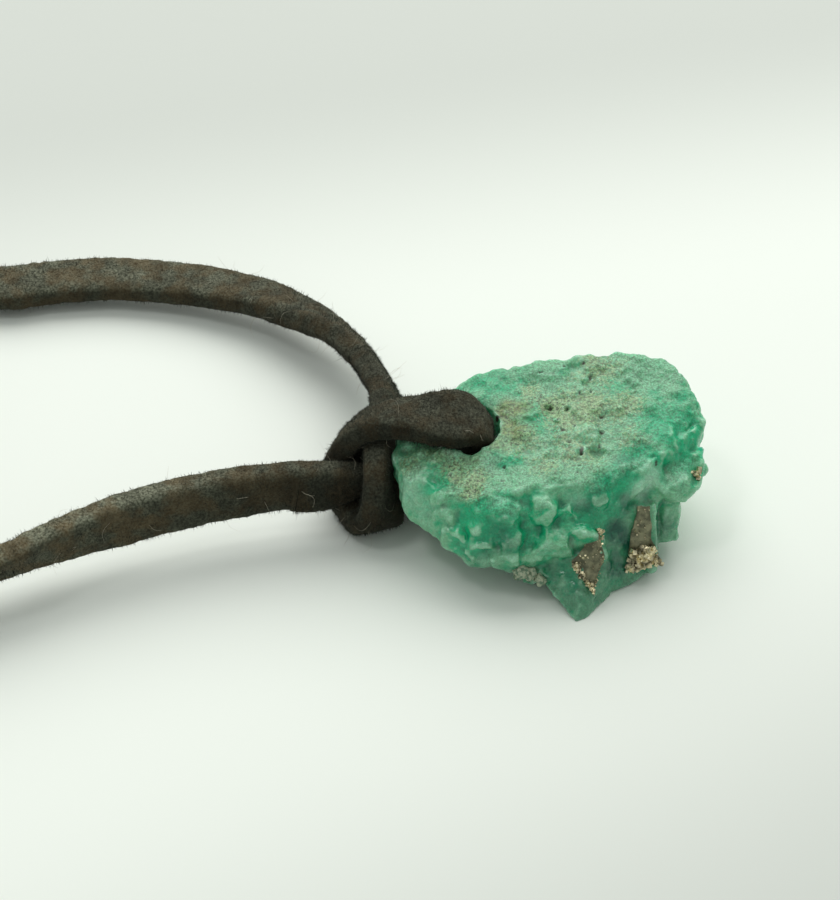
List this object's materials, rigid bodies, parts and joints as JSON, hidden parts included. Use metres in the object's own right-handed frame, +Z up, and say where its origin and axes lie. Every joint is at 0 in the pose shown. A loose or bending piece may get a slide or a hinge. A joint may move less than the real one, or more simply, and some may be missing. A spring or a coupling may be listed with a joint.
{
  "type": "emerald in matrix pendant stone",
  "caption": "Rough drilled emerald in pale matrix with pyrite, on a flat brown suede lace tied in a half knot, its free strands coiled.",
  "frame": {"origin": "on the surface that the stone rests on, under the middle of the stone's bounding box", "axes": "+X along the stone's length, away from its drilled end; +Y across it, away from its overhanging crystal front; +Z up from the resting facets to the worn top"},
  "size_m": [0.0867, 0.0416, 0.0077],
  "materials": {
    "emerald_stone": "rough crystalline, slightly glassy",
    "suede": "brushed nap"
  },
  "bodies": {
    "root": {"emerald_matrix": "emerald_stone", "lace_hitch": "suede", "lace_strand_upper": "suede", "lace_strand_lower": "suede", "lace_coil": "suede"}
  },
  "joints": []
}
